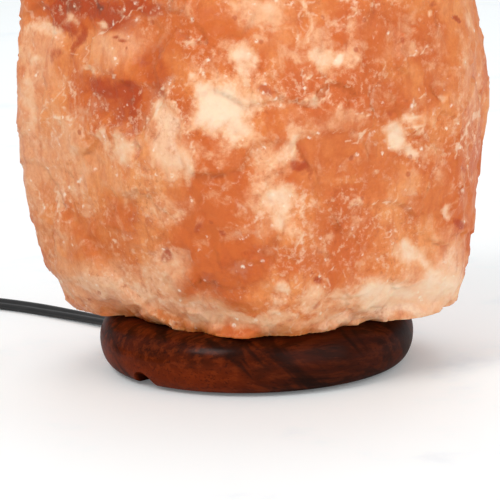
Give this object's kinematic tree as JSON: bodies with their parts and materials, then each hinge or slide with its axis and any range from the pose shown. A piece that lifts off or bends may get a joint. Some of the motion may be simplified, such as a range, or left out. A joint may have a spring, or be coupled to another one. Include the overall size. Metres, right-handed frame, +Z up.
{
  "type": "salt crystal lamp",
  "caption": "Lump of rock salt on a turned wooden base, lit by a small screw-cap bulb inside it; the cord has a thumbwheel dimmer and a flat-blade plug.",
  "frame": {"origin": "on the table's surface, under the centre of the wooden base", "axes": "+Z up along the base's axis; -Y is the side that faces the camera in the picture; +X is to the right"},
  "size_m": [0.2997, 0.2202, 0.235],
  "materials": {
    "salt": "satin",
    "base_wood": "gloss",
    "zinc_steel": "satin",
    "grey_nylon": "matte",
    "black_felt": "matte",
    "spring_steel": "satin",
    "black_plastic": "satin",
    "black_gloss": "gloss",
    "core_copper": "satin",
    "brass": "polished",
    "clear_glass": "clear",
    "nickel": "polished",
    "glass_black": "gloss",
    "solder": "satin",
    "tungsten": "satin",
    "cord_vinyl": "satin",
    "board_green": "satin",
    "wheel_grey": "satin"
  },
  "bodies": {
    "lampholder": {"clip_plate": "zinc_steel", "spring_clips": "spring_steel", "clip_rivets": "zinc_steel", "bottom_cover": "black_plastic", "cover_screws": "zinc_steel", "cord_relief": "cord_vinyl", "core_wires": "core_copper", "holder_sleeve": "black_gloss", "holder_screws": "zinc_steel", "contact_block": "black_plastic", "holder_thread": "brass", "centre_contact": "brass", "terminal_screws": "brass", "lamp_cord": "cord_vinyl", "dimmer_lower": "black_plastic", "dimmer_upper": "black_plastic", "dimmer_board": "board_green", "dimmer_pot": "black_gloss", "dimmer_screws": "zinc_steel", "feed_cord": "cord_vinyl", "cord_coil": "cord_vinyl", "cord_tie": "black_plastic", "plug_cord": "cord_vinyl", "plug_body": "black_plastic", "plug_blades": "brass"},
    "lamp_body": {"salt_crystal": "salt", "wooden_base": "base_wood", "base_screws": "zinc_steel", "wall_plugs": "grey_nylon", "felt_feet": "black_felt"},
    "bulb": {"bulb_glass": "clear_glass", "bulb_cap": "nickel", "bulb_insulator": "glass_black", "bulb_tip": "solder", "bulb_stem": "clear_glass", "bulb_leads": "nickel", "bulb_filament": "tungsten"},
    "thumbwheel": {"dimmer_wheel": "wheel_grey"}
  },
  "joints": [
    {"name": "lift_off", "type": "slide", "parent": "lampholder", "child": "lamp_body", "axis": [0, 0, 1], "range_m": [0, 0.13]},
    {"name": "bulb_out", "type": "slide", "parent": "lampholder", "child": "bulb", "axis": [0, 0, 1], "range_m": [0, 0.018]},
    {"name": "dim", "type": "hinge", "parent": "lampholder", "child": "thumbwheel", "pos_m": [-0.1898, 0.012, 0.011], "axis": [0, 0, 1], "range_deg": [0, 300]}
  ]
}
